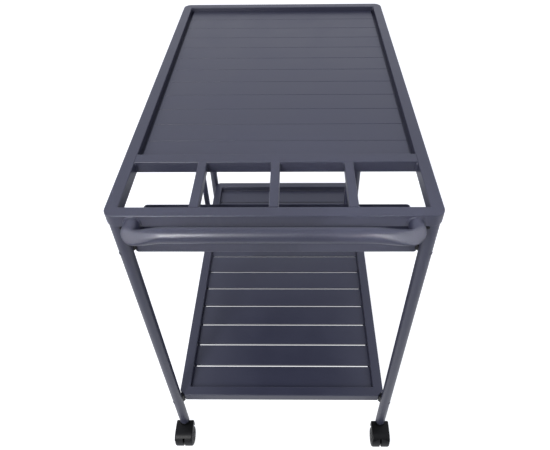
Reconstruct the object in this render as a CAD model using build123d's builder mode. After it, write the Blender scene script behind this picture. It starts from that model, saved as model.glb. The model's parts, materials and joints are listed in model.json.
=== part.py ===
import os
from math import acos, atan2, cos, degrees, radians, sin, sqrt

from build123d import *

# Serving cart. X runs across the cart, Y from the handle end to the far end, Z up.
# The origin lies on the floor, under the middle of the cart and its handle.
# "Front" is the handle end. All sizes are in millimetres.

# Top frame
table_height = 830.0
table_width = 550.0
table_length = 866.0
top_rail_width = 22.0
frame_tube = 24.0
frame_wall = 1.5
frame_edge_radius = 2.0
top_corner_radius = 19.0

# Bottle bays in the top frame
crossbar_setback = 140.0
bay_count = 4
divider_side = 16.0
divider_wall = 1.2

# Slats and the ledges that carry them
slat_thickness = 6.0
slat_wall = 1.2
slat_edge_radius = 0.8
slat_cell_count = 3
ledge_thickness = 3.0
top_slat_count = 12
top_slat_recess = 11.0
top_slat_joint = 0.8
top_slat_end_gap = 6.0
top_ledge_width = 14.0
shelf_slat_count = 12
shelf_slat_recess = 15.0
shelf_slat_gap = 4.8
shelf_slat_end_gap = 0.5
shelf_ledge_width = 4.0

# Legs, the spigots inside their tops and the screws that hold them
leg_diameter = 24.0
leg_wall = 1.5
leg_inset = 15.0
plug_clearance = 0.15
spigot_length = 40.0
leg_screw_drop = 8.0
screw_diameter = 4.0
screw_head_diameter = 7.0
screw_head_height = 1.6
screw_depth = 9.0

# Handle: a bent tube whose grip stands a little higher than its ends
handle_diameter = 26.0
handle_wall = 1.5
handle_offset = 32.0
handle_post_spacing = 456.0
handle_bend_radius = 17.0
handle_post_drop = 16.0
handle_grip_drop = 10.5
handle_end_run = 30.0
handle_rise_run = 40.0
handle_rise_radius = 110.0

# Lower shelf
shelf_height = 192.0
shelf_edge_inset = 5.0

# Saddle spacers and bolts between the legs and what they carry
spacer_thickness = 5.0
spacer_width = 12.0
spacer_wrap = 3.0
shelf_spacer_height = 24.0
shelf_spacer_foot = 6.0
tray_spacer_height = 10.0
saddle_clearance = 0.1
bolt_diameter = 6.0
bolt_hole_clearance = 0.2
bolt_head_diameter = 9.0
bolt_head_height = 1.2
bolt_end = 4.0

# Bottle tray and its hangers
tray_drop = 89.0
tray_height = 25.0
tray_length = 100.0
tray_wall = 2.0
tray_corner_radius = 6.0
tray_bend_radius = 4.0
tray_bolt_drop = 7.0
hanger_width = 9.0
hanger_thickness = 3.0
hanger_end_margin = 4.0

# Castors
castor_height = 66.0
castor_width = 48.0
castor_trail = 26.0
wheel_diameter = 50.0
wheel_rim = 6.5
wheel_face = 2.5
wheel_face_recess = 0.8
wheel_edge_radius = 5.0
wheel_inner_edge_radius = 1.5
wheel_hub_diameter = 14.0
wheel_rib_count = 6
wheel_rib_thickness = 1.5
wheel_rib_setback = 3.0
wheel_side_clearance = 0.5
axle_diameter = 6.0
axle_end_clearance = 0.5
running_clearance = 0.08
web_thickness = 3.0
web_setback = 1.5
hood_width = 46.0
hood_gap = 1.5
hood_skin = 3.5
hood_lip_angle = 40.0
hood_arch_rise = 5.7
hood_edge_radius = 3.2
hood_shoulder_drop = 5.2
hood_neck = 10.0
hood_back = 4.5
hood_back_height = 20.0
hood_back_radius = 5.0
hood_boss_diameter = 20.0
hood_boss_length = 24.0
stem_diameter = 10.0
stem_pivot_diameter = 9.0
stem_pivot_length = 15.0
stem_collar_diameter = 15.0
stem_collar_height = 2.0
stem_grip_length = 30.0
collar_gap = 0.3
socket_flange = 2.0
socket_length = 36.0

# Places that follow from the sizes above
handle_reach = handle_offset + handle_diameter / 2
front_y = (handle_reach - table_length) / 2
rear_y = front_y + table_length
middle_y = (front_y + rear_y) / 2
inner_width = table_width - 2 * top_rail_width
frame_bottom = table_height - frame_tube
crossbar_y = front_y + crossbar_setback
slat_field_y = crossbar_y + frame_tube
bay_width = (inner_width - (bay_count - 1) * divider_side) / bay_count
leg_radius = leg_diameter / 2
leg_x = table_width / 2 - leg_inset
leg_front_y = front_y + leg_inset
leg_rear_y = rear_y - leg_inset
plug_diameter = leg_diameter - 2 * leg_wall - 2 * plug_clearance
bolt_hole_diameter = bolt_diameter + 2 * bolt_hole_clearance
saddle_reach = leg_radius + spacer_thickness
shelf_width = 2 * (leg_x - shelf_edge_inset)
shelf_length = leg_rear_y - leg_front_y - 2 * shelf_edge_inset
shelf_front_y = leg_front_y + shelf_edge_inset
shelf_corner_cut = sqrt(2) * saddle_reach - 2 * shelf_edge_inset
shelf_bolt_z = shelf_height - frame_tube / 2
tray_inset = (saddle_reach - tray_corner_radius * (sqrt(2) - 1)) / sqrt(2)
tray_width = 2 * (leg_x - tray_inset)
tray_front_y = leg_front_y + tray_inset
tray_rear_y = tray_front_y + tray_length
tray_top = table_height - tray_drop
tray_bottom = tray_top - tray_height
tray_bolt_z = tray_top - tray_bolt_drop

# A corner is its name, its side in X and its end in Y.
corners = [
    ("front_left", -1, -1),
    ("front_right", 1, -1),
    ("rear_left", -1, 1),
    ("rear_right", 1, 1),
]
front_corners = corners[:2]

os.makedirs("parts", exist_ok=True)


def save(piece, name):
    piece.part.label = name
    export_step(piece.part, f"parts/{name}.step")


def leg_axis(side, end, height):
    return Vector(side * leg_x, leg_rear_y if end > 0 else leg_front_y, height)


def inward(side, end):
    return Vector(-side, -end, 0).normalized()


def screw_direction(side, end):
    return Vector(-side, end, 0).normalized()


def round_bar(start, direction, diameter, length, mode=Mode.ADD):
    with BuildSketch(Plane(start, z_dir=direction)) as section:
        Circle(diameter / 2)
    extrude(section.sketch, amount=length, mode=mode)


def square_tube(start, direction, width, height, wall, length):
    with BuildSketch(Plane(start, x_dir=direction.cross(Vector(0, 0, 1)), z_dir=direction)) as section:
        RectangleRounded(width, height, frame_edge_radius)
        Rectangle(width - 2 * wall, height - 2 * wall, mode=Mode.SUBTRACT)
    extrude(section.sketch, amount=length)


# Frames: a hollow ring with shaped corners, cut into four mitred rails
def frame_rails(prefix, width, length, rail_width, bottom, shape_corners, corner_size, corner_holes):
    with BuildSketch(Plane((0, middle_y, bottom))) as outline:
        Rectangle(width, length)
        shape_corners(outline.vertices(), corner_size)
    with BuildSketch(Plane((0, middle_y, bottom + frame_wall))) as cavity:
        Rectangle(width, length)
        shape_corners(cavity.vertices(), corner_size)
        offset(amount=-frame_wall, kind=Kind.INTERSECTION)
        Rectangle(
            width - 2 * (rail_width - frame_wall),
            length - 2 * (rail_width - frame_wall),
            mode=Mode.SUBTRACT,
        )
    with BuildPart() as ring:
        extrude(outline.sketch, amount=frame_tube)
        with BuildSketch(Plane((0, middle_y, bottom))):
            Rectangle(width - 2 * rail_width, length - 2 * rail_width)
        extrude(amount=frame_tube, mode=Mode.SUBTRACT)
        flat_faces = ring.faces().filter_by(Axis.Z)
        fillet(flat_faces.edges(), frame_edge_radius)
        extrude(cavity.sketch, amount=frame_tube - 2 * frame_wall, mode=Mode.SUBTRACT)
        for side, end in corner_holes:
            hole_start = leg_axis(side, end, bottom + frame_tube / 2)
            round_bar(hole_start, inward(side, end), bolt_hole_diameter, 2 * saddle_reach, Mode.SUBTRACT)

    half_x, half_y = width / 2, length / 2
    inner_x, inner_y = half_x - rail_width, half_y - rail_width
    mitres = {
        "left": [(-half_x, -half_y), (-inner_x, -inner_y), (-inner_x, inner_y), (-half_x, half_y)],
        "right": [(half_x, -half_y), (inner_x, -inner_y), (inner_x, inner_y), (half_x, half_y)],
        "front": [(-half_x, -half_y), (half_x, -half_y), (inner_x, -inner_y), (-inner_x, -inner_y)],
        "rear": [(-half_x, half_y), (half_x, half_y), (inner_x, inner_y), (-inner_x, inner_y)],
    }
    for name, points in mitres.items():
        with BuildPart() as rail:
            add(ring.part)
            with BuildSketch(Plane((0, middle_y, bottom))):
                Polygon(*points, align=None)
            extrude(amount=frame_tube, mode=Mode.INTERSECT)
        save(rail, f"{prefix}_rail_{name}")


frame_rails("top", table_width, table_length, top_rail_width, frame_bottom, fillet, top_corner_radius, [])
frame_rails(
    "shelf",
    shelf_width,
    shelf_length,
    frame_tube,
    shelf_height - frame_tube,
    chamfer,
    shelf_corner_cut,
    [(side, end) for name, side, end in corners],
)

# Crossbar behind the bottle bays
with BuildPart() as crossbar:
    crossbar_start = Vector(-inner_width / 2, crossbar_y + frame_tube / 2, table_height - frame_tube / 2)
    square_tube(crossbar_start, Vector(1, 0, 0), frame_tube, frame_tube, frame_wall, inner_width)
save(crossbar, "top_crossbar")

# Dividers between the bays, flush with the top
divider_length = crossbar_setback - top_rail_width
divider_places = [
    (index + 1 - bay_count / 2) * (bay_width + divider_side) for index in range(bay_count - 1)
]
for index, divider_x in enumerate(divider_places, start=1):
    with BuildPart() as divider:
        divider_start = Vector(divider_x, front_y + top_rail_width, table_height - divider_side / 2)
        square_tube(
            divider_start, Vector(0, 1, 0), divider_side, divider_side, divider_wall, divider_length
        )
    save(divider, f"bay_divider_{index}")


# Slats: hollow planks with closed cells, open at their ends
def slat(near_y, width, length, top):
    section_plane = Plane((-length / 2, near_y, top), x_dir=(0, 1, 0), z_dir=(1, 0, 0))
    with BuildSketch(section_plane) as section:
        with Locations((width / 2, -slat_thickness / 2)):
            RectangleRounded(width, slat_thickness, slat_edge_radius)
            cell = (width - slat_wall) / slat_cell_count
            with GridLocations(cell, 0, slat_cell_count, 1):
                Rectangle(cell - slat_wall, slat_thickness - 2 * slat_wall, mode=Mode.SUBTRACT)
    extrude(section.sketch, amount=length)


def ledges(between, width, from_y, to_y, top):
    for side in (-1, 1):
        with BuildSketch(Plane((0, 0, top))) as section:
            with Locations((side * (between - width) / 2, (from_y + to_y) / 2)):
                Rectangle(width, to_y - from_y)
        extrude(section.sketch, amount=-ledge_thickness)


top_slat_top = table_height - top_slat_recess
top_field_end = rear_y - top_rail_width
top_slat_pitch = (top_field_end - slat_field_y) / top_slat_count
for index in range(top_slat_count):
    with BuildPart() as top_slat:
        slat(
            slat_field_y + index * top_slat_pitch + top_slat_joint / 2,
            top_slat_pitch - top_slat_joint,
            inner_width - 2 * top_slat_end_gap,
            top_slat_top,
        )
    save(top_slat, f"top_slat_{index + 1:02d}")

with BuildPart() as top_ledges:
    ledges(inner_width, top_ledge_width, slat_field_y, top_field_end, top_slat_top - slat_thickness)
save(top_ledges, "top_slat_ledges")

shelf_slat_top = shelf_height - shelf_slat_recess
shelf_field_width = shelf_width - 2 * frame_tube
shelf_field_front = shelf_front_y + frame_tube
shelf_field_length = shelf_length - 2 * frame_tube
shelf_slat_width = (shelf_field_length - (shelf_slat_count + 1) * shelf_slat_gap) / shelf_slat_count
with BuildPart() as shelf_slats:
    for index in range(shelf_slat_count):
        slat(
            shelf_field_front + shelf_slat_gap + index * (shelf_slat_width + shelf_slat_gap),
            shelf_slat_width,
            shelf_field_width - 2 * shelf_slat_end_gap,
            shelf_slat_top,
        )
save(shelf_slats, "shelf_slats")

with BuildPart() as shelf_ledges:
    ledges(
        shelf_field_width,
        shelf_ledge_width,
        shelf_field_front,
        shelf_field_front + shelf_field_length,
        shelf_slat_top - slat_thickness,
    )
save(shelf_ledges, "shelf_slat_ledges")

# Legs: tubes with a screw hole at the top and holes for the shelf and tray bolts
leg_screw_z = frame_bottom - leg_screw_drop
for name, side, end in corners:
    with BuildPart() as leg:
        round_bar(leg_axis(side, end, castor_height), (0, 0, 1), leg_diameter, frame_bottom - castor_height)
        round_bar(
            leg_axis(side, end, castor_height),
            (0, 0, 1),
            leg_diameter - 2 * leg_wall,
            frame_bottom - castor_height,
            Mode.SUBTRACT,
        )
        round_bar(
            leg_axis(side, end, leg_screw_z),
            screw_direction(side, end),
            screw_diameter + 2 * bolt_hole_clearance,
            leg_diameter,
            Mode.SUBTRACT,
        )
        bolt_heights = [shelf_bolt_z, tray_bolt_z] if end < 0 else [shelf_bolt_z]
        for bolt_z in bolt_heights:
            outside = leg_axis(side, end, bolt_z) - inward(side, end) * leg_diameter
            round_bar(outside, inward(side, end), bolt_hole_diameter, 2 * leg_diameter, Mode.SUBTRACT)
    save(leg, f"leg_{name}")

with BuildPart() as spigots:
    for name, side, end in corners:
        round_bar(leg_axis(side, end, frame_bottom), (0, 0, -1), plug_diameter, spigot_length)
        round_bar(
            leg_axis(side, end, leg_screw_z),
            screw_direction(side, end),
            screw_diameter + 2 * bolt_hole_clearance,
            leg_diameter,
            Mode.SUBTRACT,
        )
save(spigots, "leg_spigots")

with BuildPart() as leg_screws:
    for name, side, end in corners:
        outside = screw_direction(side, end)
        seat = leg_axis(side, end, leg_screw_z) + outside * leg_radius
        round_bar(seat, outside, screw_head_diameter, screw_head_height)
        round_bar(seat, -outside, screw_diameter, screw_depth)
save(leg_screws, "leg_screws")

# Handle on the front rail, its ends closed by caps
handle_end_x = handle_post_spacing / 2
handle_y = front_y - handle_offset
handle_post_z = table_height - handle_post_drop
handle_grip_z = table_height - handle_grip_drop
rise_start_x = handle_end_x - handle_end_run
rise_end_x = rise_start_x - handle_rise_run
with BuildPart() as handle:
    with BuildLine() as handle_path:
        FilletPolyline(
            (-handle_end_x, front_y, handle_post_z),
            (-handle_end_x, handle_y, handle_post_z),
            (-rise_start_x, handle_y, handle_post_z),
            (-rise_end_x, handle_y, handle_grip_z),
            (rise_end_x, handle_y, handle_grip_z),
            (rise_start_x, handle_y, handle_post_z),
            (handle_end_x, handle_y, handle_post_z),
            (handle_end_x, front_y, handle_post_z),
            radius=[handle_bend_radius] + 4 * [handle_rise_radius] + [handle_bend_radius],
        )
    with BuildSketch(Plane((-handle_end_x, front_y, handle_post_z), z_dir=(0, -1, 0))):
        Circle(handle_diameter / 2)
        Circle(handle_diameter / 2 - handle_wall, mode=Mode.SUBTRACT)
    sweep(path=handle_path.wire())
    for side in (-1, 1):
        end_place = (side * handle_end_x, front_y, handle_post_z)
        round_bar(end_place, (0, -1, 0), handle_diameter - handle_wall, handle_wall)
save(handle, "push_handle")

# Bottle tray: a folded pan under the bays
with BuildPart() as tray:
    with BuildSketch(Plane((0, (tray_front_y + tray_rear_y) / 2, tray_bottom))):
        RectangleRounded(tray_width, tray_length, tray_corner_radius)
    extrude(amount=tray_height)
    fillet(tray.faces().sort_by(Axis.Z)[0].edges(), tray_bend_radius)
    offset(amount=-tray_wall, openings=tray.faces().sort_by(Axis.Z)[-1])
    for name, side, end in front_corners:
        round_bar(
            leg_axis(side, end, tray_bolt_z),
            inward(side, end),
            bolt_hole_diameter,
            2 * saddle_reach,
            Mode.SUBTRACT,
        )
save(tray, "bottle_tray")

# Hangers from the outer dividers to the tray's rear wall
hanger_top = table_height - divider_side
hanger_bottom = tray_bottom + tray_bend_radius + hanger_end_margin
for name, hanger_x in (("left", divider_places[0]), ("right", divider_places[-1])):
    with BuildPart() as hanger:
        with BuildSketch(Plane((hanger_x, tray_rear_y + hanger_thickness / 2, hanger_bottom))):
            Rectangle(hanger_width, hanger_thickness)
        extrude(amount=hanger_top - hanger_bottom)
    save(hanger, f"tray_hanger_{name}")


# Spacers: saddles that fit the round leg and end flat
def spacer(side, end, bottom, height, bolt_z):
    near_side = leg_radius - spacer_wrap
    with BuildSketch(Plane(leg_axis(side, end, bottom), x_dir=inward(side, end))) as plan:
        with Locations(((near_side + saddle_reach) / 2, 0)):
            Rectangle(saddle_reach - near_side, spacer_width)
        Circle(leg_radius + saddle_clearance, mode=Mode.SUBTRACT)
    extrude(plan.sketch, amount=height)
    bolt_axis = leg_axis(side, end, bolt_z)
    round_bar(bolt_axis, inward(side, end), bolt_hole_diameter, 2 * saddle_reach, Mode.SUBTRACT)


def bolt(side, end, middle_z, wall):
    seat = leg_axis(side, end, middle_z) - inward(side, end) * leg_radius
    round_bar(seat, -inward(side, end), bolt_head_diameter, bolt_head_height)
    shank_length = leg_radius + saddle_reach + wall + bolt_end
    round_bar(seat, inward(side, end), bolt_diameter, shank_length)


shelf_spacer_bottom = shelf_height - frame_tube - shelf_spacer_foot
with BuildPart() as shelf_spacers:
    for name, side, end in corners:
        spacer(side, end, shelf_spacer_bottom, shelf_spacer_height, shelf_bolt_z)
save(shelf_spacers, "shelf_spacers")

with BuildPart() as shelf_bolts:
    for name, side, end in corners:
        bolt(side, end, shelf_bolt_z, frame_wall)
save(shelf_bolts, "shelf_bolts")

tray_spacer_bottom = tray_bolt_z - tray_spacer_height / 2
with BuildPart() as tray_spacers:
    for name, side, end in front_corners:
        spacer(side, end, tray_spacer_bottom, tray_spacer_height, tray_bolt_z)
save(tray_spacers, "tray_spacers")

with BuildPart() as tray_bolts:
    for name, side, end in front_corners:
        bolt(side, end, tray_bolt_z, sqrt(2) * tray_wall)
save(tray_bolts, "tray_bolts")

# Castors. Each hood trails its stem towards the handle end.
socket_bottom = castor_height - socket_flange
collar_bottom = socket_bottom - stem_collar_height
hood_top = collar_bottom - collar_gap
wheel_radius = wheel_diameter / 2
hood_inner_radius = wheel_radius + hood_gap
hood_radius = hood_inner_radius + hood_skin
wheel_inner_x = web_thickness / 2 + wheel_side_clearance
wheel_outer_x = castor_width / 2 - wheel_side_clearance
wheel_face_x = wheel_outer_x - wheel_face
hub_radius = wheel_hub_diameter / 2
rim_radius = wheel_radius - wheel_rim
axle_bore_diameter = axle_diameter + 2 * running_clearance

with BuildPart() as sockets:
    for name, side, end in corners:
        round_bar(leg_axis(side, end, socket_bottom), (0, 0, 1), leg_diameter, socket_flange)
        round_bar(leg_axis(side, end, castor_height), (0, 0, 1), plug_diameter, socket_length)
        round_bar(
            leg_axis(side, end, socket_bottom),
            (0, 0, 1),
            stem_diameter + 2 * plug_clearance,
            stem_grip_length,
            Mode.SUBTRACT,
        )
save(sockets, "castor_sockets")

with BuildPart() as stems:
    for name, side, end in corners:
        round_bar(leg_axis(side, end, collar_bottom), (0, 0, 1), stem_collar_diameter, stem_collar_height)
        round_bar(leg_axis(side, end, socket_bottom), (0, 0, 1), stem_diameter, stem_grip_length)
        round_bar(leg_axis(side, end, collar_bottom), (0, 0, -1), stem_pivot_diameter, stem_pivot_length)
save(stems, "castor_stems")

# The hood's side view, measured from the stem's axis at the floor
axle_place = Vector(-castor_trail, wheel_radius)
shoulder_z = hood_top - hood_shoulder_drop
neck_place = Vector(-hood_neck, shoulder_z)
to_neck = neck_place - axle_place
neck_angle = atan2(to_neck.Y, to_neck.X) + acos(hood_radius / to_neck.length)
lip_angle = radians(180 - hood_lip_angle)
crown_start = axle_place + Vector(cos(neck_angle), sin(neck_angle)) * hood_radius
lip_place = axle_place + Vector(cos(lip_angle), sin(lip_angle)) * hood_radius
arch_top = lip_place.Y + hood_arch_rise
arch_radius = ((hood_width / 2) ** 2 + hood_arch_rise**2) / (2 * hood_arch_rise)
arch_depth = sqrt(hood_inner_radius**2 - (arch_top - wheel_radius) ** 2)

for name, side, end in corners:
    foot = leg_axis(side, end, 0)
    axle_point = foot + Vector(0, -castor_trail, wheel_radius)

    with BuildPart() as hood:
        with BuildSketch(Plane(foot, x_dir=(0, 1, 0), z_dir=(1, 0, 0))) as outline:
            with BuildLine():
                CenterArc(
                    axle_place, hood_radius, degrees(neck_angle), degrees(lip_angle - neck_angle)
                )
                Polyline(
                    crown_start,
                    neck_place,
                    (hood_back, shoulder_z),
                    (hood_back, shoulder_z - hood_back_height),
                    axle_place,
                    lip_place,
                )
            make_face()
            fillet(outline.vertices().sort_by(Axis((0, 0, 0), (1, 1, 0)))[-1], hood_back_radius)
        extrude(amount=hood_width / 2, both=True)
        side_faces = hood.faces().filter_by(Axis.X)
        edges_from = lip_place.Y - hood_edge_radius
        fillet(side_faces.edges().filter_by_position(Axis.Z, edges_from, shoulder_z), hood_edge_radius)
        round_bar(foot + Vector(0, 0, hood_top), (0, 0, -1), hood_boss_diameter, hood_boss_length)
        for wheel_side in (-1, 1):
            pocket_start = axle_point + Vector(wheel_side * web_thickness / 2, 0, 0)
            round_bar(
                pocket_start, (wheel_side, 0, 0), 2 * hood_inner_radius, castor_width, Mode.SUBTRACT
            )
        with BuildSketch(Plane(axle_point, z_dir=(1, 0, 0))):
            Circle(wheel_radius - web_setback)
        extrude(amount=web_thickness / 2, both=True)
        with BuildSketch(Plane(foot + Vector(0, -castor_trail - arch_depth, 0), z_dir=(0, -1, 0))):
            with Locations((0, arch_top - arch_radius)):
                Circle(arch_radius)
        extrude(amount=2 * hood_radius, mode=Mode.SUBTRACT)
        bore_start = axle_point - Vector(web_thickness, 0, 0)
        round_bar(bore_start, (1, 0, 0), axle_bore_diameter, 2 * web_thickness, Mode.SUBTRACT)
        round_bar(
            foot + Vector(0, 0, hood_top),
            (0, 0, -1),
            stem_pivot_diameter + 2 * running_clearance,
            stem_pivot_length + collar_gap,
            Mode.SUBTRACT,
        )
    save(hood, f"castor_hood_{name}")

    axle_reach = wheel_face_x - axle_end_clearance
    with BuildPart() as axle:
        round_bar(axle_point - Vector(axle_reach, 0, 0), (1, 0, 0), axle_diameter, 2 * axle_reach)
    save(axle, f"castor_axle_{name}")

    for wheel_name, wheel_side in (("outer", side), ("inner", -side)):
        with BuildPart() as wheel:
            section_plane = Plane(axle_point, x_dir=(wheel_side, 0, 0), z_dir=(0, -wheel_side, 0))
            with BuildSketch(section_plane) as section:
                with BuildLine():
                    Polyline(
                        (wheel_inner_x, axle_bore_diameter / 2),
                        (wheel_inner_x, hub_radius),
                        (wheel_face_x, hub_radius),
                        (wheel_face_x, rim_radius),
                        (wheel_inner_x, rim_radius),
                        (wheel_inner_x, wheel_radius),
                        (wheel_outer_x, wheel_radius),
                        (wheel_outer_x, rim_radius),
                        (wheel_outer_x - wheel_face_recess, rim_radius),
                        (wheel_outer_x - wheel_face_recess, hub_radius),
                        (wheel_outer_x, hub_radius),
                        (wheel_outer_x, 0),
                        (wheel_face_x, 0),
                        (wheel_face_x, axle_bore_diameter / 2),
                        close=True,
                    )
                make_face()
                fillet(section.vertices().sort_by(Axis.Y)[-2:].sort_by(Axis.X)[-1], wheel_edge_radius)
                fillet(section.vertices().sort_by(Axis.Y)[-2:].sort_by(Axis.X)[0], wheel_inner_edge_radius)
            revolve(axis=Axis(axle_point, (1, 0, 0)))
            rib_plane = Plane(
                axle_point + Vector(wheel_side * wheel_face_x, 0, 0),
                x_dir=(0, 1, 0),
                z_dir=(-wheel_side, 0, 0),
            )
            with BuildSketch(rib_plane):
                with PolarLocations((hub_radius + rim_radius) / 2, wheel_rib_count):
                    Rectangle(rim_radius - hub_radius + wheel_rib_thickness, wheel_rib_thickness)
            extrude(amount=wheel_face_x - wheel_inner_x - wheel_rib_setback)
        save(wheel, f"castor_wheel_{name}_{wheel_name}")
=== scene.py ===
import bmesh
import bpy
import json
from math import atan2, cos, exp, pi, radians, sin, sqrt
from mathutils import Matrix, Vector


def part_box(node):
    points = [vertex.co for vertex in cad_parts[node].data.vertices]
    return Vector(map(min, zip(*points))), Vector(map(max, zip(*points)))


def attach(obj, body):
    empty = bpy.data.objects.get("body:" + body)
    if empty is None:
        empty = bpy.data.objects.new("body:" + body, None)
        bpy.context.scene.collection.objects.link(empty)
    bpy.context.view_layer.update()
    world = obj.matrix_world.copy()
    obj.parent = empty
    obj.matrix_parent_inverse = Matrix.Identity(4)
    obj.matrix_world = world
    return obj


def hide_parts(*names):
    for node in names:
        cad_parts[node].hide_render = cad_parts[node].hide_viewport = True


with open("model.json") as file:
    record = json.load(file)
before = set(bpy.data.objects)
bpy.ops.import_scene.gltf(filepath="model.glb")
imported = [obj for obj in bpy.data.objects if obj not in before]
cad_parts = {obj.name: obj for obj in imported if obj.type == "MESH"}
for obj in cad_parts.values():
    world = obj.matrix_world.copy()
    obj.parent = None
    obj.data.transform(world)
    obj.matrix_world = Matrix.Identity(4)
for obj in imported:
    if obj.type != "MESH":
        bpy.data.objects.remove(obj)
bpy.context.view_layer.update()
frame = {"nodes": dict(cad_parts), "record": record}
nodes = frame["nodes"]
scene = bpy.context.scene
scene.view_settings.view_transform = "Standard"
mm = 0.001
print("frame loaded,", len(nodes), "nodes")


# camera at the handle end, looking steeply down; fitted to the edges of the top, legs and shelf
photoCamera = {
    "place": (34.0, -985.7, 1379.0),
    "pitchDown": 44.066,
    "yaw": -1.139,
    "roll": 0.864,
    "focalPixels": 502.6,
    "photoWidth": 550,
    "shift": (-0.0227, -0.0098),  # the photograph was cropped a little off centre
    "sensorWidth": 36.0,
    "clipStart": 10.0,
}


def addCamera(settings):
    data = bpy.data.cameras.new("photoCamera")
    data.sensor_fit = "HORIZONTAL"
    data.sensor_width = settings["sensorWidth"]
    data.lens = settings["sensorWidth"] * settings["focalPixels"] / settings["photoWidth"]
    data.shift_x, data.shift_y = settings["shift"]
    data.clip_start = settings["clipStart"] * mm
    camera = bpy.data.objects.new("photoCamera", data)
    scene.collection.objects.link(camera)
    turn = (
        Matrix.Rotation(radians(-settings["yaw"]), 4, "Z")
        @ Matrix.Rotation(radians(90 - settings["pitchDown"]), 4, "X")
        @ Matrix.Rotation(radians(-settings["roll"]), 4, "Z")
    )
    camera.matrix_world = Matrix.Translation(Vector(settings["place"]) * mm) @ turn
    scene.camera = camera


addCamera(photoCamera)
print("camera placed")


# materials
def toLinear(hexColour):
    parts = [int(hexColour[place:place + 2], 16) / 255 for place in (1, 3, 5)]
    linear = [
        part / 12.92 if part <= 0.04045 else ((part + 0.055) / 1.055) ** 2.4 for part in parts
    ]
    return linear + [1.0]


def addNode(tree, kind, settings=None, links=None):
    node = tree.nodes.new(kind)
    for key, value in (settings or {}).items():
        if isinstance(key, int) or key in node.inputs:
            node.inputs[key].default_value = value
        else:
            setattr(node, key, value)
    for key, source in (links or {}).items():
        tree.links.new(source, node.inputs[key])
    return node


def startMaterial(name):
    material = bpy.data.materials.new(name)
    material.use_nodes = True
    tree = material.node_tree
    tree.nodes.clear()
    return material, tree


def perMetre(sizeInMm):
    return 1.0 / (sizeInMm * mm)


# Polyester powder, sprayed on aluminium and baked until it flows. The film is slate grey with a
# little blue, satin, and keeps a faint orange peel that breaks up the highlights.
powderCoat = {
    "colour": "#353645",
    "paleColour": "#3c3d4d",
    "cloudSize": 70.0,
    "cloudDetail": 3.0,
    "cloudRange": (0.3, 0.7),  # where most of the noise lies
    "peelSize": 2.6,
    "peelDetail": 2.0,
    "peelRoughness": 0.45,
    "peelHeight": 0.02,
    "peelStrength": 0.5,
    "roughness": 0.37,
    "roughnessSpread": 0.03,
    "ior": 1.57,
}


def makePowderCoat(name, look):
    material, tree = startMaterial(name)
    place = addNode(tree, "ShaderNodeTexCoord").outputs["Object"]
    cloud = addNode(
        tree,
        "ShaderNodeTexNoise",
        {"Scale": perMetre(look["cloudSize"]), "Detail": look["cloudDetail"]},
        {"Vector": place},
    )
    peel = addNode(
        tree,
        "ShaderNodeTexNoise",
        {
            "Scale": perMetre(look["peelSize"]),
            "Detail": look["peelDetail"],
            "Roughness": look["peelRoughness"],
        },
        {"Vector": place},
    )
    colour = addNode(
        tree,
        "ShaderNodeMix",
        {"data_type": "RGBA", 6: toLinear(look["colour"]), 7: toLinear(look["paleColour"])},
        {0: cloud.outputs["Fac"]},
    )
    roughness = addNode(
        tree,
        "ShaderNodeMapRange",
        {
            "From Min": look["cloudRange"][0],
            "From Max": look["cloudRange"][1],
            "To Min": look["roughness"] - look["roughnessSpread"],
            "To Max": look["roughness"] + look["roughnessSpread"],
        },
        {"Value": cloud.outputs["Fac"]},
    )
    bump = addNode(
        tree,
        "ShaderNodeBump",
        {"Strength": look["peelStrength"], "Distance": look["peelHeight"] * mm},
        {"Height": peel.outputs["Fac"]},
    )
    shader = addNode(
        tree,
        "ShaderNodeBsdfPrincipled",
        {"IOR": look["ior"]},
        {
            "Base Color": colour.outputs[2],
            "Roughness": roughness.outputs[0],
            "Normal": bump.outputs[0],
        },
    )
    addNode(tree, "ShaderNodeOutputMaterial", None, {"Surface": shader.outputs[0]})
    return material


slatePowderCoat = makePowderCoat("slatePowderCoatedAluminium", powderCoat)

# Glass filled nylon, injection moulded in a lightly spark eroded mould: black, satin, finely
# stippled. The stipple is drawn coarser than the real one, so that it shows.
mouldedNylon = {
    "colour": "#0b0b0c",
    "paleColour": "#121213",
    "cloudSize": 18.0,
    "cloudDetail": 4.0,
    "stippleSize": 0.7,
    "stippleDetail": 2.0,
    "stippleHeight": 0.03,
    "stippleStrength": 0.4,
    "roughness": 0.35,
    "ior": 1.5,
    "specularLevel": 0.2,  # the stipple swallows part of the shine
}
# The wheels are the same nylon, a little greyer all over.
wheelNylonLook = dict(
    mouldedNylon,
    colour="#161617",
    paleColour="#1e1e1f",
    roughness=0.45,
    specularLevel=0.32,
)


def makeNylon(name, look):
    material, tree = startMaterial(name)
    place = addNode(tree, "ShaderNodeTexCoord").outputs["Object"]
    cloud = addNode(
        tree,
        "ShaderNodeTexNoise",
        {"Scale": perMetre(look["cloudSize"]), "Detail": look["cloudDetail"]},
        {"Vector": place},
    )
    stipple = addNode(
        tree,
        "ShaderNodeTexNoise",
        {"Scale": perMetre(look["stippleSize"]), "Detail": look["stippleDetail"]},
        {"Vector": place},
    )
    colour = addNode(
        tree,
        "ShaderNodeMix",
        {"data_type": "RGBA", 6: toLinear(look["colour"]), 7: toLinear(look["paleColour"])},
        {0: cloud.outputs["Fac"]},
    )
    bump = addNode(
        tree,
        "ShaderNodeBump",
        {"Strength": look["stippleStrength"], "Distance": look["stippleHeight"] * mm},
        {"Height": stipple.outputs["Fac"]},
    )
    shader = addNode(
        tree,
        "ShaderNodeBsdfPrincipled",
        {
            "IOR": look["ior"],
            "Specular IOR Level": look["specularLevel"],
            "Roughness": look["roughness"],
        },
        {"Base Color": colour.outputs[2], "Normal": bump.outputs[0]},
    )
    addNode(tree, "ShaderNodeOutputMaterial", None, {"Surface": shader.outputs[0]})
    return material


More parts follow.
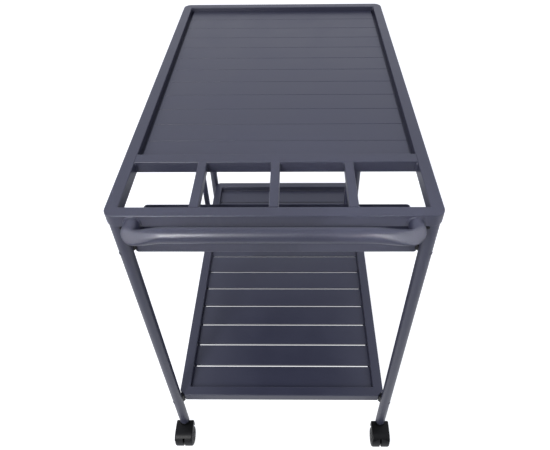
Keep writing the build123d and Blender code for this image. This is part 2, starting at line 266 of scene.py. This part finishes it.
blackNylon = makeNylon("mouldedBlackNylon", mouldedNylon)
wheelNylon = makeNylon("mouldedWheelNylon", wheelNylonLook)

# Steel: bright zinc plate on turned pins, black oxide on cold formed screws. Both have a fine
# mottle, which is drawn coarser than the real one, so that it shows.
zincPlate = {
    "colour": "#c3c5c8",
    "darkColour": "#9fa2a6",
    "mottleSize": 1.2,
    "mottleDetail": 3.0,
    "roughness": 0.32,
    "metallic": 1.0,
}
blackOxide = {
    "colour": "#2c2c2f",
    "darkColour": "#1f1f21",
    "mottleSize": 1.2,
    "mottleDetail": 3.0,
    "roughness": 0.38,
    "metallic": 0.6,
}


def makeSteel(name, look):
    material, tree = startMaterial(name)
    place = addNode(tree, "ShaderNodeTexCoord").outputs["Object"]
    mottle = addNode(
        tree,
        "ShaderNodeTexNoise",
        {"Scale": perMetre(look["mottleSize"]), "Detail": look["mottleDetail"]},
        {"Vector": place},
    )
    colour = addNode(
        tree,
        "ShaderNodeMix",
        {"data_type": "RGBA", 6: toLinear(look["colour"]), 7: toLinear(look["darkColour"])},
        {0: mottle.outputs["Fac"]},
    )
    shader = addNode(
        tree,
        "ShaderNodeBsdfPrincipled",
        {"Metallic": look["metallic"], "Roughness": look["roughness"]},
        {"Base Color": colour.outputs[2]},
    )
    addNode(tree, "ShaderNodeOutputMaterial", None, {"Surface": shader.outputs[0]})
    return material


zincSteel = makeSteel("zincPlatedSteel", zincPlate)
oxideSteel = makeSteel("blackOxideSteel", blackOxide)

slotMaterials = {
    "slate_powder_coat": slatePowderCoat,
    "black_nylon": blackNylon,
    "black_wheel_nylon": wheelNylon,
    "slate_painted_steel": slatePowderCoat,  # the bolts are coated along with the frame
    "zinc_plated_steel": zincSteel,
    "black_oxide_steel": oxideSteel,
}


def dress(piece, slot):
    piece.data.materials.clear()
    piece.data.materials.append(slotMaterials[slot])


for row in frame["record"]["subparts"]:
    dress(nodes[row["node"]], row["material_slot"])
print("CAD nodes dressed")


# mesh pieces, all in millimetres until they are stored
sharpAngle = 40.0  # edges that turn by more degrees than this stay crisp


def addPiece(name, shape, slot, body="frame"):
    bmesh.ops.recalc_face_normals(shape, faces=shape.faces[:])
    for edge in shape.edges:
        edge.smooth = edge.calc_face_angle(0.0) < radians(sharpAngle)
    for face in shape.faces:
        face.smooth = True
    mesh = bpy.data.meshes.new(name)
    shape.to_mesh(mesh)
    shape.free()
    piece = bpy.data.objects.new(name, mesh)
    scene.collection.objects.link(piece)
    dress(piece, slot)
    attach(piece, body)
    return piece


def boxOf(node):
    low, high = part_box(node)
    return Vector(low) / mm, Vector(high) / mm


# skins a row of rings, which either meets its own start or is capped at both ends
def joinRings(shape, rings, closed=False):
    rows = [[shape.verts.new(point * mm) for point in ring] for ring in rings]
    count = len(rows[0])
    for first, second in zip(rows, rows[1:] + (rows[:1] if closed else [])):
        for place in range(count):
            follow = (place + 1) % count
            shape.faces.new((first[place], first[follow], second[follow], second[place]))
    if not closed:
        shape.faces.new(rows[0])
        shape.faces.new(rows[-1])


# Welds: fillet beads whose ripples still show through the coat. A bead runs along the corner of
# two walls; each row is a point of the corner and the two directions in which the walls leave it.
# Bulge, ripple depth and end size are shares of the leg.
bead = {
    "leg": 3.0,
    "bulge": 0.22,
    "ripple": 2.4,
    "rippleDepth": 0.13,
    "step": 0.6,
    "fewestSteps": 4,
    "taper": 3.0,
    "endSize": 0.35,
    "sink": 0.4,
    "toe": 0.12,
    "arcSteps": 6,
}
slimBead = dict(bead, leg=2.0, ripple=1.9, taper=2.0, step=0.5)
tackBead = dict(bead, leg=1.8, ripple=1.9, taper=3.0, step=0.6)


def straightRows(start, end, wallA, wallB, look):
    start, end = Vector(start), Vector(end)
    walls = Vector(wallA), Vector(wallB)
    count = max(look["fewestSteps"], round((end - start).length / look["step"]))
    return [(start.lerp(end, step / count), *walls) for step in range(count + 1)]


def layBead(shape, rows, look):
    along = [0.0]
    for (before, _, _), (after, _, _) in zip(rows, rows[1:]):
        along.append(along[-1] + (after - before).length)
    rings = []
    for length, (corner, wallA, wallB) in zip(along, rows):
        fromEnd = min(1.0, min(length, along[-1] - length) / look["taper"])
        taper = look["endSize"] + (1 - look["endSize"]) * sin(fromEnd * pi / 2)
        ripple = 1 + look["rippleDepth"] * abs(sin(pi * length / look["ripple"]))
        size = look["leg"] * taper * ripple
        ring = [corner - (wallA + wallB) * look["sink"]]
        for step in range(look["arcSteps"] + 1):
            turn = step / look["arcSteps"]
            swell = look["bulge"] * size * sin(pi * turn)
            ring.append(
                corner
                + wallA * (size * (1 - turn) + swell - look["toe"] * turn)
                + wallB * (size * turn + swell - look["toe"] * (1 - turn))
            )
        rings.append(ring)
    joinRings(shape, rings)


def addWelds(name, runs, look):
    shape = bmesh.new()
    for start, end, wallA, wallB in runs:
        layBead(shape, straightRows(start, end, wallA, wallB, look), look)
    addPiece(name, shape, "slate_powder_coat")


toLeft, toRight = (-1, 0, 0), (1, 0, 0)
toFront, toRear = (0, -1, 0), (0, 1, 0)
downwards = (0, 0, -1)
edgeRound = 2.0  # rounding of the tubes' long edges, where a bead ends
topLow, topHigh = boxOf("top_rail_left")[0], boxOf("top_rail_right")[1]
innerX = boxOf("top_rail_right")[0].x
innerFront, innerRear = boxOf("top_rail_front")[1].y, boxOf("top_rail_rear")[0].y
crossLow, crossHigh = boxOf("top_crossbar")
slatTop = boxOf("top_slat_01")[1].z
beadTop, beadBottom = topHigh.z - edgeRound, topLow.z + edgeRound

mitreRuns, crossRuns = [], []
for side in (-1, 1):
    cornerX, into = side * innerX, (-side, 0, 0)
    for runs, cornerY, bottom, rail in (
        (mitreRuns, innerFront, beadBottom, toRear),
        (mitreRuns, innerRear, slatTop, toFront),
        (crossRuns, crossLow.y, beadBottom, toFront),
        (crossRuns, crossHigh.y, slatTop, toRear),
    ):
        runs.append(((cornerX, cornerY, bottom), (cornerX, cornerY, beadTop), into, rail))
addWelds("mitreWelds", mitreRuns, bead)
addWelds("crossbarWelds", crossRuns, bead)

dividerRuns = []
for number in (1, 2, 3):
    low, high = boxOf(f"bay_divider_{number}")
    bottom, top = low.z + edgeRound, high.z - edgeRound
    for cornerY, away in ((low.y, toRear), (high.y, toFront)):
        for cornerX, out in ((low.x, toLeft), (high.x, toRight)):
            start, end = (cornerX, cornerY, bottom), (cornerX, cornerY, top)
            dividerRuns.append((start, end, out, away))
        start, end = (low.x + edgeRound, cornerY, low.z), (high.x - edgeRound, cornerY, low.z)
        dividerRuns.append((start, end, downwards, away))
addWelds("dividerWelds", dividerRuns, slimBead)

shelfInnerX = boxOf("shelf_rail_right")[0].x
shelfFront, shelfRear = boxOf("shelf_rail_front")[1].y, boxOf("shelf_rail_rear")[0].y
shelfSlatTop = boxOf("shelf_slats")[1].z
shelfBeadTop = boxOf("shelf_rail_right")[1].z - edgeRound
shelfRuns = []
for side in (-1, 1):
    cornerX = side * shelfInnerX
    for cornerY, rail in ((shelfFront, toRear), (shelfRear, toFront)):
        start, end = (cornerX, cornerY, shelfSlatTop), (cornerX, cornerY, shelfBeadTop)
        shelfRuns.append((start, end, (-side, 0, 0), rail))
addWelds("shelfCornerWelds", shelfRuns, bead)

# the straps' upper ends, and their sides where they lie on the tray's rear wall
hangerWeld = {"lowerMargin": 1.0, "rimMargin": 2.0}
weldEnd = boxOf("bottle_tray")[1].z - hangerWeld["rimMargin"]
hangerRuns = []
for hanger in ("tray_hanger_left", "tray_hanger_right"):
    low, high = boxOf(hanger)
    for cornerY, out in ((low.y, toFront), (high.y, toRear)):
        hangerRuns.append(((low.x, cornerY, high.z), (high.x, cornerY, high.z), out, downwards))
    weldStart = low.z + hangerWeld["lowerMargin"]
    for cornerX, out in ((low.x, toLeft), (high.x, toRight)):
        start, end = (cornerX, low.y, weldStart), (cornerX, low.y, weldEnd)
        hangerRuns.append((start, end, out, toRear))
addWelds("hangerWelds", hangerRuns, slimBead)

# short tacks below the ledges that carry the top slats
tacks = {"count": 6, "length": 22.0, "endMargin": 40.0}
ledgeLow, ledgeHigh = boxOf("top_slat_ledges")
tackReach = ledgeHigh.y - ledgeLow.y - 2 * tacks["endMargin"] - tacks["length"]
tackRuns = []
for side in (-1, 1):
    cornerX = side * innerX
    for number in range(tacks["count"]):
        startY = ledgeLow.y + tacks["endMargin"] + tackReach * number / (tacks["count"] - 1)
        start, end = (cornerX, startY, ledgeLow.z), (cornerX, startY + tacks["length"], ledgeLow.z)
        tackRuns.append((start, end, downwards, (-side, 0, 0)))
addWelds("ledgeTacks", tackRuns, tackBead)

# a ring round each end of the handle, as far down as the rail's flat face goes
handle = {"radius": 13.0, "weldStep": 3.0}  # mm, degrees
handleLow, handleHigh = boxOf("push_handle")
postZ = handleLow.z + handle["radius"]
faceEnd = atan2(beadBottom - postZ, sqrt(handle["radius"] ** 2 - (beadBottom - postZ) ** 2))
ringCount = round((pi - 2 * faceEnd) / radians(handle["weldStep"]))
ringShape = bmesh.new()
for postX in (handleLow.x + handle["radius"], handleHigh.x - handle["radius"]):
    post = Vector((postX, handleHigh.y, postZ))
    rows = []
    for step in range(ringCount + 1):
        angle = faceEnd + (pi - 2 * faceEnd) * step / ringCount
        out = Vector((cos(angle), 0, sin(angle)))
        rows.append((post + out * handle["radius"], out, Vector(toFront)))
    layBead(ringShape, rows, slimBead)
addPiece("handleWelds", ringShape, "slate_powder_coat")
print("welds laid")


# Handle: one tube bent so tightly at both ends that its outer wall is pressed flat there, then
# rising to the grip. The rises and the flats, left (-1) and right (1), are measured inwards from
# the posts; a flat is a plane, blended softly into the tube.
handleTube = {
    "bend": 12.0,
    "bendCore": 1.0,  # radius left open inside the bend, so that its wall doesn't fold over
    "rises": {-1: (14.0, 56.0), 1: (18.0, 80.0)},
    "flatNormal": (0.3, -0.66, 0.69),
    "flatFrom": {-1: 33.0, 1: 43.0},
    "flatSoftness": 3.0,
    "postSteps": 17,
    "bendSteps": 8,
    "step": 1.5,
    "fineLength": 90.0,  # drawn in fine steps, from each post; the grip takes longer ones
    "gripStep": 6.0,
    "segments": 56,
}


def handlePath(look, postX, gripY):
    gripRise = handleHigh.z - handle["radius"] - postZ
    postLength = gripY + look["bend"] - handleHigh.y
    points = []
    for step in range(look["postSteps"]):
        points.append((-postX, handleHigh.y + postLength * step / look["postSteps"]))
    for step in range(look["bendSteps"] + 1):
        angle = pi / 2 * step / look["bendSteps"]
        x = -postX + look["bend"] * (1 - cos(angle))
        points.append((x, gripY + look["bend"] * (1 - sin(angle))))
    x = -postX + look["bend"] + look["step"]
    while x < 0:
        points.append((x, gripY))
        x += look["step"] if x < -postX + look["fineLength"] else look["gripStep"]
    points = points + [(0.0, gripY)] + [(-x, y) for x, y in reversed(points)]
    rows = []
    for x, y in points:
        start, end = look["rises"][-1 if x < 0 else 1]
        share = min(1.0, max(0.0, (postX - abs(x) - start) / (end - start)))
        rows.append(Vector((x, y, postZ + gripRise * share * share * (3 - 2 * share))))
    return rows


def handleFlat(look, side, postX, gripY):
    pressed = Vector(look["flatNormal"]).normalized()
    pressed.x *= side
    touch = Vector((side * (postX - look["flatFrom"][side]), gripY, postZ))
    return pressed, touch.dot(pressed) + handle["radius"] * sqrt(1 - pressed.x**2)


def addHandle(look):
    postX = handleHigh.x - handle["radius"]
    gripY = handleLow.y + handle["radius"]
    path = handlePath(look, postX, gripY)
    flats = {side: handleFlat(look, side, postX, gripY) for side in (-1, 1)}
    softness = look["flatSoftness"]
    rings = []
    for place, centre in enumerate(path):
        before, after = path[max(place - 1, 0)], path[min(place + 1, len(path) - 1)]
        along = (after - before).normalized()
        up = (Vector((0, 0, 1)) - along * along.z).normalized()
        outward = along.cross(up)
        pressed, touchDepth = flats[-1 if centre.x < 0 else 1]
        pastPost = centre.y - gripY - look["bend"] <= 0
        beforeGrip = postX - look["bend"] - abs(centre.x) <= 0
        ring = []
        for step in range(look["segments"]):
            angle = 2 * pi * step / look["segments"]
            point = (outward * cos(angle) + up * sin(angle)) * handle["radius"]
            depth = (centre + point).dot(pressed) - touchDepth + softness
            if depth > 0:
                point -= pressed * (depth - softness * (1 - exp(-depth / softness)))
            inward = -point.dot(outward)
            if pastPost and beforeGrip and inward > look["bend"] - look["bendCore"]:
                point += outward * (inward - look["bend"] + look["bendCore"])
            ring.append(centre + point)
        rings.append(ring)
    shape = bmesh.new()
    joinRings(shape, rings)
    piece = addPiece("pushHandleTube", shape, "slate_powder_coat")
    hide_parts("push_handle")


addHandle(handleTube)
print("handle bent")


# Bolts and screws: low domed heads with a hexagon socket, whose rims follow the round leg, and a
# threaded end. A ring of a head is (kind, radius, height above the leg); "hex" radii are half the
# width across the flats. A thread is (core radius, pitch).
shelfBolt = {
    "shank": 3.0,
    "thread": (2.55, 1.0),
    "threadLength": 9.0,
    "segments": 48,
    "head": [
        ("saddle", 3.85, -0.15),
        ("saddle", 4.0, 0.05),
        ("round", 4.0, 0.15),
        ("round", 3.8, 0.4),
        ("round", 3.3, 0.58),
        ("round", 2.6, 0.68),
        ("hex", 1.85, 0.72),
        ("hex", 1.7, 0.65),
        ("hex", 1.7, -0.2),
    ],
}
legScrew = {
    "shank": 2.0,
    "thread": (1.65, 0.7),
    "threadLength": 6.0,
    "segments": 48,
    "head": [
        ("saddle", 3.35, -0.15),
        ("saddle", 3.5, 0.1),
        ("round", 3.5, 0.5),
        ("round", 3.3, 0.95),
        ("round", 2.8, 1.32),
        ("round", 2.1, 1.52),
        ("hex", 1.4, 1.6),
        ("hex", 1.25, 1.5),
        ("hex", 1.25, 0.5),
    ],
}
# The tip is a share of the core, crest and root are shares of the pitch, the rest are lengths.
threadForm = {
    "tip": 0.7,
    "tipLength": 0.5,
    "start": 0.6,
    "crest": 0.4,
    "root": 0.9,
    "runOut": 0.8,
    "neck": 1.5,
}
legRadius = 12.0


def addBolt(shape, seat, outward, shankLength, look):
    girth = Vector((0, 0, 1)).cross(outward)
    coreRadius, pitch = look["thread"]
    rings = [
        ("round", coreRadius * threadForm["tip"], -shankLength),
        ("round", coreRadius, -shankLength + threadForm["tipLength"]),
    ]
    turns = int(look["threadLength"] / pitch)
    for turn in range(turns):
        height = -shankLength + threadForm["start"] + turn * pitch
        rings.append(("round", look["shank"], height + threadForm["crest"] * pitch))
        rings.append(("round", coreRadius, height + threadForm["root"] * pitch))
    rings.append(("round", look["shank"], -shankLength + threadForm["runOut"] + turns * pitch))
    rings.append(("round", look["shank"], -threadForm["neck"]))
    rings.extend(look["head"])
    points = []
    for kind, radius, height in rings:
        ring = []
        for step in range(look["segments"]):
            angle = 2 * pi * step / look["segments"]
            reach = radius / cos(angle % (pi / 3) - pi / 6) if kind == "hex" else radius
            across = reach * cos(angle)
            drop = legRadius - sqrt(legRadius**2 - across**2) if kind == "saddle" else 0.0
            rise = Vector((0, 0, reach * sin(angle)))
            ring.append(seat + outward * (height - drop) + girth * across + rise)
        points.append(ring)
    joinRings(shape, points)


def legCentre(side, end):
    endName = "rear" if end > 0 else "front"
    sideName = "right" if side > 0 else "left"
    low, high = boxOf(f"leg_{endName}_{sideName}")
    return (low + high) / 2


# facing 1 points a head away from the cart's middle line, -1 towards it
def replaceBolts(name, node, slot, look, ends, facing, shankLength):
    low, high = boxOf(node)
    shape = bmesh.new()
    for side in (-1, 1):
        for end in ends:
            outward = Vector((facing * side, end, 0)).normalized()
            axis = legCentre(side, end)
            axis.z = (low.z + high.z) / 2
            addBolt(shape, axis + outward * legRadius, outward, shankLength, look)
    piece = addPiece(name, shape, slot)
    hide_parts(node)


replaceBolts(
    "shelfBoltsDomed", "shelf_bolts", "slate_painted_steel", shelfBolt,
    ends=(-1, 1), facing=1, shankLength=34.5,
)
replaceBolts(
    "trayBoltsDomed", "tray_bolts", "slate_painted_steel", shelfBolt,
    ends=(-1,), facing=1, shankLength=35.8,
)
replaceBolts(
    "legScrewsDomed", "leg_screws", "black_oxide_steel", legScrew,
    ends=(-1, 1), facing=-1, shankLength=9.0,
)
print("bolts and screws made")


# Wheel faces: a moulded ring and six low ribs in the recess round each hub, wider at the foot
wheelFace = {
    "recess": 0.8,
    "ribHeight": 0.55,
    "sink": 0.2,
    "ring": (12.2, 13.6),
    "ringFlare": 0.3,
    "ribSpan": (8.0, 17.9),
    "ribWidth": 1.6,
    "ribFlare": 0.2,
    "ribs": 6,
    "segments": 72,
}


def addWheelFace(corner, twin, look):
    side = -1 if "left" in corner else 1
    out = side if twin == "outer" else -side
    low, high = boxOf(f"castor_wheel_{corner}_{twin}")
    centre = (low + high) / 2
    floorX = (high.x if out > 0 else low.x) - out * look["recess"]
    topX = floorX + out * look["ribHeight"]
    baseX = floorX - out * look["sink"]
    inner, outer = look["ring"]
    ringSection = (
        (baseX, inner - look["ringFlare"]),
        (topX, inner),
        (topX, outer),
        (baseX, outer + look["ringFlare"]),
    )
    halfRib = look["ribWidth"] / 2
    ribSection = (
        (baseX, -halfRib - look["ribFlare"]),
        (topX, -halfRib),
        (topX, halfRib),
        (baseX, halfRib + look["ribFlare"]),
    )
    shape = bmesh.new()
    loop = []
    for step in range(look["segments"]):
        angle = 2 * pi * step / look["segments"]
        spoke = Vector((0, cos(angle), sin(angle)))
        loop.append([Vector((x, centre.y, centre.z)) + spoke * radius for x, radius in ringSection])
    joinRings(shape, loop, closed=True)
    for rib in range(look["ribs"]):
        angle = 2 * pi * rib / look["ribs"]
        spoke = Vector((0, cos(angle), sin(angle)))
        across = Vector((0, -sin(angle), cos(angle)))
        for span in ((look["ribSpan"][0], inner), (outer, look["ribSpan"][1])):
            sections = []
            for radius in span:
                middle = Vector((0, centre.y, centre.z)) + spoke * radius
                sections.append([
                    middle + Vector((x, 0, 0)) + across * half for x, half in ribSection
                ])
            joinRings(shape, sections)
    addPiece(f"wheelFace.{corner}.{twin}", shape, "black_wheel_nylon", f"wheel_{corner}_{twin}")


for corner in ("front_left", "front_right", "rear_left", "rear_right"):
    for twin in ("outer", "inner"):
        addWheelFace(corner, twin, wheelFace)
print("wheel faces made")


# Floor and light: a white studio whose front end, beyond the camera, is left dark. A dark end is
# (where it is darkest along Y, where full strength begins, share of the strength left).
floorLook = {
    "size": 12.0,  # m
    "colour": "#bcbcbc",
    "lift": 0.92,  # brings the lit floor up to white and leaves the shadow on it
    "mirrorLift": 0.6,
    "darkEnd": (-1.3, -0.6, 0.2),
}
worldLook = {
    "colour": "#ffffff",
    "mirrorColour": "#f1f3ff",
    "lightColour": "#ccd9ff",
    "horizon": 0.02,
    "zenith": 0.78,
    "mirrorStrength": 1.0,
    "seenStrength": 1.0,  # 1 is white
    "darkEnd": (-0.75, -0.2, 0.3),
}
# The softbox is the main light, the panels fill the ends of the handle, and the gridded heads,
# which are narrow beams, put a soft spot on either side of the grip.
lamps = [
    {
        "name": "leftSoftbox",
        "place": (-780, -1920, 2040),
        "target": (0, -400, 700),
        "size": (300, 1400),
        "watts": 30,
        "spread": 180,
    },
    {
        "name": "leftGrid",
        "place": (-960, -1860, 2040),
        "target": (-180, -450, 822),
        "size": (120, 160),
        "watts": 0.085,
        "spread": 10,
    },
    {
        "name": "rightGrid",
        "place": (960, -1860, 2040),
        "target": (180, -450, 822),
        "size": (120, 160),
        "watts": 0.11,
        "spread": 10,
    },
    {
        "name": "leftPanel",
        "place": (-1650, -1130, 1500),
        "target": (-200, -450, 820),
        "size": (900, 800),
        "watts": 6,
        "spread": 180,
    },
    {
        "name": "rightPanel",
        "place": (1650, -1130, 1500),
        "target": (200, -450, 820),
        "size": (900, 800),
        "watts": 5.5,
        "spread": 180,
    },
]


# one strength for each kind of ray: light on the cart, mirror images in it, and the white view
def strengthByRay(tree, mirrored, seen, lit=None):
    path = addNode(tree, "ShaderNodeLightPath").outputs
    mirror = addNode(
        tree,
        "ShaderNodeMath",
        {"operation": "MAXIMUM"},
        {0: path["Is Glossy Ray"], 1: path["Is Transmission Ray"]},
    )
    links = {0: mirror.outputs[0], 3: mirrored}
    if lit is not None:
        links[2] = lit
    unseen = addNode(tree, "ShaderNodeMix", {2: 0.0}, links)
    strength = addNode(
        tree, "ShaderNodeMix", {3: seen}, {0: path["Is Camera Ray"], 2: unseen.outputs[0]}
    )
    return strength.outputs[0]


def frontFade(tree, place, darkEnd, full):
    near, far, dark = darkEnd
    alongY = addNode(tree, "ShaderNodeSeparateXYZ", None, {0: place}).outputs["Y"]
    return addNode(
        tree,
        "ShaderNodeMapRange",
        {"From Min": near, "From Max": far, "To Min": dark * full, "To Max": full},
        {"Value": alongY},
    ).outputs[0]


def makeBackdrop(look):
    bpy.ops.mesh.primitive_plane_add(size=look["size"])
    floor = bpy.context.object
    floor.name = "studioFloor"
    material, tree = startMaterial("paleStudioFloor")
    place = addNode(tree, "ShaderNodeTexCoord").outputs["Object"]
    mirrored = frontFade(tree, place, look["darkEnd"], look["mirrorLift"])
    lift = strengthByRay(tree, mirrored, look["lift"])
    paint = addNode(tree, "ShaderNodeBsdfDiffuse", {"Color": toLinear(look["colour"])})
    glow = addNode(tree, "ShaderNodeEmission", None, {"Strength": lift})
    both = addNode(tree, "ShaderNodeAddShader", None, {0: paint.outputs[0], 1: glow.outputs[0]})
    addNode(tree, "ShaderNodeOutputMaterial", None, {"Surface": both.outputs[0]})
    floor.data.materials.append(material)


def makeWorld(look):
    world = bpy.data.worlds.new("studioWorld")
    world.use_nodes = True
    tree = world.node_tree
    tree.nodes.clear()
    direction = addNode(tree, "ShaderNodeTexCoord").outputs["Generated"]
    height = addNode(tree, "ShaderNodeSeparateXYZ", None, {0: direction}).outputs["Z"]
    ceiling = addNode(
        tree,
        "ShaderNodeMapRange",
        {"To Min": look["horizon"], "To Max": look["zenith"]},
        {"Value": height},
    )
    mirrored = frontFade(tree, direction, look["darkEnd"], look["mirrorStrength"])
    strength = strengthByRay(tree, mirrored, look["seenStrength"], ceiling.outputs[0])
    path = addNode(tree, "ShaderNodeLightPath").outputs
    tint = addNode(
        tree,
        "ShaderNodeMix",
        {
            "data_type": "RGBA",
            6: toLinear(look["mirrorColour"]),
            7: toLinear(look["lightColour"]),
        },
        {0: path["Is Diffuse Ray"]},
    )
    colour = addNode(
        tree,
        "ShaderNodeMix",
        {"data_type": "RGBA", 7: toLinear(look["colour"])},
        {0: path["Is Camera Ray"], 6: tint.outputs[2]},
    )
    sky = addNode(
        tree, "ShaderNodeBackground", None, {"Color": colour.outputs[2], "Strength": strength}
    )
    addNode(tree, "ShaderNodeOutputWorld", None, {"Surface": sky.outputs[0]})
    scene.world = world


def addLamp(lamp):
    data = bpy.data.lights.new(lamp["name"], "AREA")
    data.shape = "RECTANGLE"
    data.size, data.size_y = (side * mm for side in lamp["size"])
    data.energy = lamp["watts"]
    data.spread = radians(lamp["spread"])
    light = bpy.data.objects.new(lamp["name"], data)
    scene.collection.objects.link(light)
    light.location = Vector(lamp["place"]) * mm
    aim = (Vector(lamp["target"]) - Vector(lamp["place"])) * mm
    light.rotation_euler = aim.to_track_quat("-Z", "Y").to_euler()


makeBackdrop(floorLook)
makeWorld(worldLook)
for lamp in lamps:
    addLamp(lamp)
print("studio lit")
